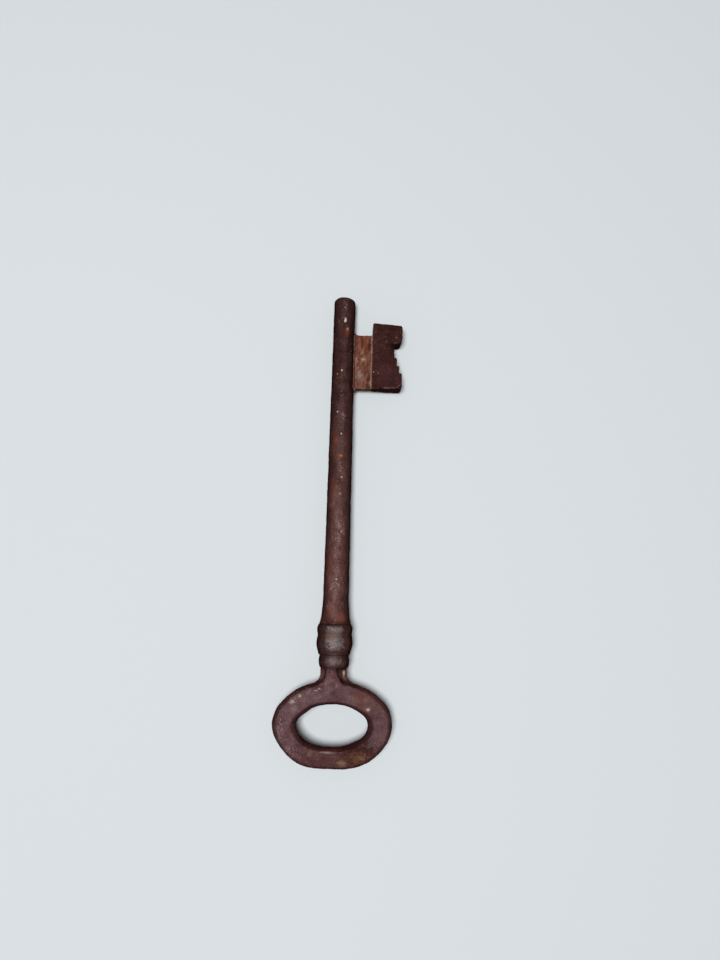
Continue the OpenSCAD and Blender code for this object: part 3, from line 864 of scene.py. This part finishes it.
class KEY_OT_bow(bpy.types.Operator):
    """Forges and rusts the bow"""
    bl_idname = "old_key.bow"
    bl_label = "Bow"

    # The two ovals that the solid's bow follows, outline and eye
    centre_y = -121.65
    eye_y = -121.95
    half_w, half_l = 17.7, 12.45
    eye_half_w, eye_half_l = 10.5, 6.05

    # Bulges of the outline and of the eye: place and width in degrees round the oval, and height.
    # Those with a height below 0 go inwards.
    outline_bulges = (
        (240, 17, 0.6), (300, 16, 0.5), (270, 15, 0.1), (148, 14, -0.35), (212, 12, -0.15),
        (328, 18, 0.3), (30, 14, 0.15))
    eye_bulges = ((154, 20, -0.5), (48, 12, -0.12), (92, 10, -0.2), (228, 14, 0.3))

    def execute(self, context):
        key = context.scene.old_key
        c = key.colours
        thing = even_copy("bow", key.surface.mesh_step)
        co = points(thing.data)
        self.hammer(co)
        self.file_neck(co)
        put_points(thing.data, co)

        # The tenon's socket and the face against the neck ring sit on other pieces
        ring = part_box("bow")[1][1] / MM
        socket_radius, socket_end = 2.3, -111
        socket = (np.hypot(co[:, 0], co[:, 2]) < socket_radius) & (co[:, 1] > socket_end)
        bare = (1.0 - socket) * ease(ring - co[:, 1], 0, 0.5)

        # Forged iron with a handled patina: close purple-brown rust with a soft sheen on its flats,
        # and painted shade on its rims
        material = rusted_iron(
            "forged_iron_patina", c.bow_rust, c.dust_and_sheen, painted_flank_shade=0.7, rub=0.4, seams=(ring,), marks=bow_marks)
        rust(thing, bare, material, 40)
        stand_in(thing, "bow_rusted", "bow")
        return {"FINISHED"}

    def hammer(self, co):
        """Pushes the oval's outline out and in, as the hammer and the file left it."""
        x, y = co[:, 0], co[:, 1] - self.centre_y
        turn = np.arctan2(y / self.half_l, x / self.half_w)
        degrees = np.degrees(turn)

        # The share is 0 at the eye's edge and 1 at the outline
        out = np.hypot(x / self.half_w, y / self.half_l)
        hole = np.hypot(x / self.eye_half_w, (co[:, 1] - self.eye_y) / self.eye_half_l)
        share = np.clip((hole - 1) / (hole - 1 + np.maximum(1 - out, 1e-6) * 1.6), 0, 1)

        def bulges(places):
            """The sum of the bulges at each point, each fading on both sides of its place."""
            total = 0.0
            for at, width, height in places:
                off = (degrees - at + 180) % 360 - 180
                total = total + height * np.exp(-(off / width) ** 2)
            return total

        # Small waves run round both edges too
        outer = bulges(self.outline_bulges) + 0.07 * np.sin(5 * turn + 1) + 0.05 * np.sin(11 * turn + 4)
        inner = bulges(self.eye_bulges) + 0.06 * np.sin(4 * turn + 2) + 0.05 * np.sin(9 * turn)
        push = share * outer + (1 - share) * inner

        # The neck stays as it is
        neck_end, bow_begin = 108.6, 110.2
        push *= ease(-co[:, 1], neck_end, bow_begin)
        normal = np.column_stack([np.cos(turn) / self.half_w, np.sin(turn) / self.half_l])
        normal /= np.linalg.norm(normal, axis=1)[:, None]
        co[:, :2] += normal * push[:, None]

    def file_neck(self, co):
        """Files a scoop into both flanks of the neck, which leaves a narrow tongue between them."""
        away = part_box("bow")[1][1] / MM - co[:, 1]

        # The tongue leans over a little and widens towards the bow
        tongue_half = 1.3 + 0.05 * away ** 2 + 0.002 * away ** 4
        from_tongue = np.abs(co[:, 0] + 0.66 - 0.06 * away)
        over = np.maximum(from_tongue - tongue_half, 0)

        # Beside it the surface falls by a step and then a slope, down to the scoop's floor
        tongue_top = 2.5 + 0.8 * ease(-away, -3.6, -0.2)
        step, step_width, slope, floor = 0.9, 0.6, 0.7, 0.7
        limit = np.maximum(tongue_top - slope * over - step * ease(over, 0, step_width), floor)

        # The scoop leaves a wall round the tenon
        wall_radius = 2.2
        limit = np.maximum(limit, np.sqrt(np.maximum(wall_radius ** 2 - co[:, 0] ** 2, 0)))
        cut = np.sign(co[:, 2]) * np.minimum(np.abs(co[:, 2]), limit)
        scooped_from, scooped_to = ease(away, -0.1, 0.3), 1 - ease(away, 3.2, 5.4)
        co[:, 2] += (cut - co[:, 2]) * scooped_from * scooped_to


class KEY_OT_bit(bpy.types.Operator):
    """Files and rusts the bit and runs braze along its root"""
    bl_idname = "old_key.bit"
    bl_label = "Bit and braze"

    # Scratches along the web: face up or down, x, rear and front end, and share of the depth
    scratches = (
        (1, 5.9, -6.4, 0, 1), (1, 8.2, -7, 0, 1), (1, 8.1, -19.5, -12.6, 1),
        (-1, 5.8, -16, -4, 0.8), (-1, 7.6, -12, 0, 1))

    def execute(self, context):
        key = context.scene.old_key
        c = key.colours
        thing = even_copy("bit", key.surface.mesh_step * 0.8)
        co = points(thing.data)
        self.scratch(co, key.surface.groove_depth / MM)
        self.nick(co)
        self.wear_corners(co)
        put_points(thing.data, co)

        # The root sits in the shank's slot
        root_end, open_air = 2.9, 3.4
        bare = ease(co[:, 0], root_end, open_air)

        # Filed iron, rusted: flat and dull, with hardly any sheen, painted shade on its flanks and a
        # copper tint on the web
        haze = between(c.tip_rust, c.bow_rust, 0.55)
        material = rusted_iron(
            "filed_iron_rusted", c.tip_rust, haze, painted_flank_shade=0.5, shine=0.06, young=0.12, glints=0.25,
            rub=0.5, marks=bit_marks)
        rust(thing, bare, material, 60, **{"Wear rounds": 10, "Swell size": 3 * MM})
        stand_in(thing, "bit_rusted", "bit")

        braze = even_copy("bit_braze", key.surface.mesh_step * 0.7)
        on_air = np.ones(len(braze.data.vertices))

        # Brass of the braze under a dull brown coat, with painted shade on its flanks: it shows as a
        # warm tint in the two corners
        material = rusted_iron("brass_braze_dull", c.shank_rust, c.brass, painted_flank_shade=0.4)
        rust(braze, on_air, material, 80, **{"Swell depth": 0.0, "Pit depth": 0.05 * MM})
        stand_in(braze, "bit_braze_dull", "bit_braze")
        return {"FINISHED"}

    def scratch(self, co, depth):
        """Cuts the scratches that a coarse file left along the web's two faces."""
        half_width, run_out = 0.26, 1.2
        face_lowest, face_highest = 0.9, 1.5
        web_inner, web_outer = 4.4, 8.8
        from_middle = np.abs(co[:, 2])
        on_face = (from_middle > face_lowest) & (from_middle < face_highest)
        on_face &= (co[:, 0] > web_inner) & (co[:, 0] < web_outer)
        groove = np.zeros(len(co))
        for face, x, rear, front, share in self.scratches:
            inside = ease(co[:, 1], rear, rear + run_out) * (1 - ease(co[:, 1], front - run_out, front))
            across = np.exp(-((co[:, 0] - x) / half_width) ** 2)
            groove += (co[:, 2] * face > 0) * share * inside * across
        co[:, 2] -= np.sign(co[:, 2]) * depth * groove * on_face

    def nick(self, co):
        """Files the slanting nick in the upper face, at the deep cut's front corner."""
        depth = 1.5
        outwards = ease(co[:, 0], 14.6, 16.4)
        from_rear, before_front = ease(co[:, 1], -7.4, -5.4), 1 - ease(co[:, 1], -4.3, -3.9)
        nick = outwards * from_rear * before_front
        co[:, 2] -= depth * nick * ease(co[:, 2], 0, 2.6)

    def wear_corners(self, co):
        """Rubs away the upper face's rear outer corner and the front tab's corner by the deep cut,
        and leaves the outer edge a little wavy."""
        # The rear corner is what lies behind a line that comes forward towards the outer edge
        inner_y, forward = -19.15, 1.6
        corner_line = inner_y + forward * ease(co[:, 0], 16.4, 18.6)
        behind = np.maximum(corner_line - co[:, 1], 0)
        over = behind * ease(co[:, 0], 10, 13) * (co[:, 2] > 0)

        # Nothing there stands above a limit, which rises from 2.5 near the wing's inner edge to 3
        # at its outer edge, and comes down behind the line, softly at first
        limit = 2.5 + 0.5 * (co[:, 0] - 9.6) / 9.15
        deepest = 1.9
        worn_to = limit - np.minimum(1.3 * over ** 2 / (over + 0.3), deepest)
        co[:, 2] = np.where(over > 0, np.minimum(co[:, 2], worn_to), co[:, 2])

        # The tab's corner gives way by three quarters past a slanting line, in front of the cut
        slant, line_x, line_y, cut_y = 0.9, 18.6, -2.9, -4.4
        over = np.maximum(co[:, 0] + slant * (line_y - co[:, 1]) - line_x, 0) * (co[:, 1] > cut_y)
        co[:, 0] -= 0.75 * over
        wave = 0.07 * np.sin(3.1 * co[:, 1] + 1) + 0.05 * np.sin(5.3 * co[:, 1] + 2)
        co[:, 0] += ease(co[:, 0], 13.5, 16) * wave


def resting_plane():
    """The plane that the key lies on, as slopes in x and y and a height in millimetres. It touches
    the collar, the shank near its tip and the wing's outer corner from below."""
    collar, shank, bit = (
        points(bpy.data.objects[name].data) for name in ("collar_worn", "shank_rusted", "bit_rusted"))

    # The shank's foot is in front of the first place, and the bit's is outside the second
    tip_from, wing_from = 0, 12
    feet = (collar, shank[shank[:, 1] > tip_from], bit[bit[:, 0] > wing_from])
    slope = np.zeros(2)

    # After a few rounds the touching points no longer change
    rounds = 8
    for _ in range(rounds):
        touch = np.array([co[np.argmin(co[:, 2] - co[:, :2] @ slope)] for co in feet])
        x, y, height = np.linalg.solve(np.column_stack([touch[:, :2], np.ones(3)]), touch[:, 2])
        slope = np.array([x, y])
    return x, y, height


class KEY_OT_stage(bpy.types.Operator):
    """Lays the floor under the resting key and sets the lamp, the sky and the camera"""
    bl_idname = "old_key.stage"
    bl_label = "Stage"

    def execute(self, context):
        stage = context.scene.old_key.stage
        slope_x, slope_y, height = resting_plane()
        up = Vector((-slope_x, -slope_y, 1)).normalized()
        along = Vector((0, 1, slope_y))
        along = (along - up * along.dot(up)).normalized()
        across = along.cross(up)
        foot = up * (up.z * height * MM)

        # A round floor of 1 m radius, matt and pale, which fades into the backdrop far from the key
        middle_along, corners = -0.06, 96
        fade_begin, fade_end = 0.25, 0.8
        middle = foot + along * middle_along
        turns = [math.tau * i / corners for i in range(corners)]
        rim = [middle + across * math.cos(t) + along * math.sin(t) for t in turns]
        mesh = bpy.data.meshes.new("floor")
        mesh.from_pydata([tuple(point) for point in rim], [], [range(corners)])
        floor = bpy.data.objects.new("floor", mesh)
        context.scene.collection.objects.link(floor)
        paint = bpy.data.materials.new("matt_floor")
        paint.use_nodes = True
        tree = paint.node_tree
        nodes = Nodes(tree)
        shader = tree.nodes["Principled BSDF"]
        shader.inputs["Base Color"].default_value = (*stage.floor_colour, 1)
        shader.inputs["Roughness"].default_value = 0.85
        place = add(tree, "ShaderNodeTexCoord").outputs["Object"]
        away = nodes.vector("DISTANCE", place, middle)["Value"]
        far = nodes.times(nodes.step(away, fade_begin, fade_end), nodes.seen_share())
        glow = add(tree, "ShaderNodeEmission", {0: (*stage.backdrop, 1)}).outputs[0]
        both = add(tree, "ShaderNodeMixShader", {0: far, 1: shader.outputs[0], 2: glow}).outputs[0]
        tree.links.new(both, tree.nodes["Material Output"].inputs[0])
        mesh.materials.append(paint)

        # The photograph's view: the lens stands over a point beside the shank and looks a little
        # to the left of the shank's own direction
        left_turn, aside, back = -0.0264, 7.35, -83.51
        ahead = (across * left_turn + along).normalized()
        eye = foot + across * aside * MM + along * back * MM + up * stage.camera_height
        look = ahead * math.sin(stage.camera_tilt) - up * math.cos(stage.camera_tilt)
        top = ahead * math.cos(stage.camera_tilt) + up * math.sin(stage.camera_tilt)
        data = bpy.data.cameras.new("camera")
        data.lens = stage.lens
        data.sensor_width = 36
        data.clip_start = 0.01
        camera = bpy.data.objects.new("camera", data)
        camera.matrix_world = Matrix((look.cross(top), top, -look)).transposed().to_4x4()
        camera.location = eye
        context.scene.collection.objects.link(camera)
        context.scene.camera = camera

        # The lamp stands to the left of the key and a little behind its middle
        lamp_aside, lamp_back, aim_back = -0.13, -0.12, -0.07
        lamp = bpy.data.lights.new("soft_lamp", "AREA")
        lamp.shape = "DISK"
        lamp.size = stage.lamp_size
        lamp.energy = stage.lamp_power
        lamp_object = bpy.data.objects.new("soft_lamp", lamp)
        lamp_object.location = foot + up * stage.lamp_height + across * lamp_aside + along * lamp_back
        aim = Vector((0, aim_back, 0)) - lamp_object.location
        lamp_object.rotation_euler = aim.to_track_quat("-Z", "Y").to_euler()
        context.scene.collection.objects.link(lamp_object)

        # The sky lights the key evenly from all round, and shows as the plain backdrop
        world = bpy.data.worlds.new("sky")
        world.use_nodes = True
        tree = world.node_tree
        light = tree.nodes["Background"]
        light.inputs["Color"].default_value = (1, 1, 1, 1)
        light.inputs["Strength"].default_value = stage.sky
        plain = add(tree, "ShaderNodeBackground", {0: (*stage.backdrop, 1)}).outputs[0]
        seen = Nodes(tree).seen_share()
        both = add(tree, "ShaderNodeMixShader", {0: seen, 1: light.outputs[0], 2: plain}).outputs[0]
        tree.links.new(both, tree.nodes["World Output"].inputs[0])
        context.scene.world = world
        context.scene.view_settings.view_transform = "Standard"
        return {"FINISHED"}


class KEY_PT_panel(bpy.types.Panel):
    """Lists the steps in the sidebar, in the order in which they are run"""
    bl_idname = "KEY_PT_panel"
    bl_label = "Old key"
    bl_space_type = "VIEW_3D"
    bl_region_type = "UI"
    bl_category = "Old key"

    def draw(self, context):
        for operator in OPERATORS:
            self.layout.operator(operator.bl_idname)


OPERATORS = (KEY_OT_shank, KEY_OT_rings, KEY_OT_bow, KEY_OT_bit, KEY_OT_stage)
CLASSES = (KeySurface, KeyColours, KeyStage, OldKey, *OPERATORS, KEY_PT_panel)


def register():
    for cls in CLASSES:
        bpy.utils.register_class(cls)
    bpy.types.Scene.old_key = PointerProperty(type=OldKey)


def unregister():
    del bpy.types.Scene.old_key
    for cls in reversed(CLASSES):
        bpy.utils.unregister_class(cls)


def main():
    register()
    bpy.ops.old_key.shank()
    bpy.ops.old_key.rings()
    bpy.ops.old_key.bow()
    bpy.ops.old_key.bit()
    bpy.ops.old_key.stage()


if __name__ == "__main__":
    main()
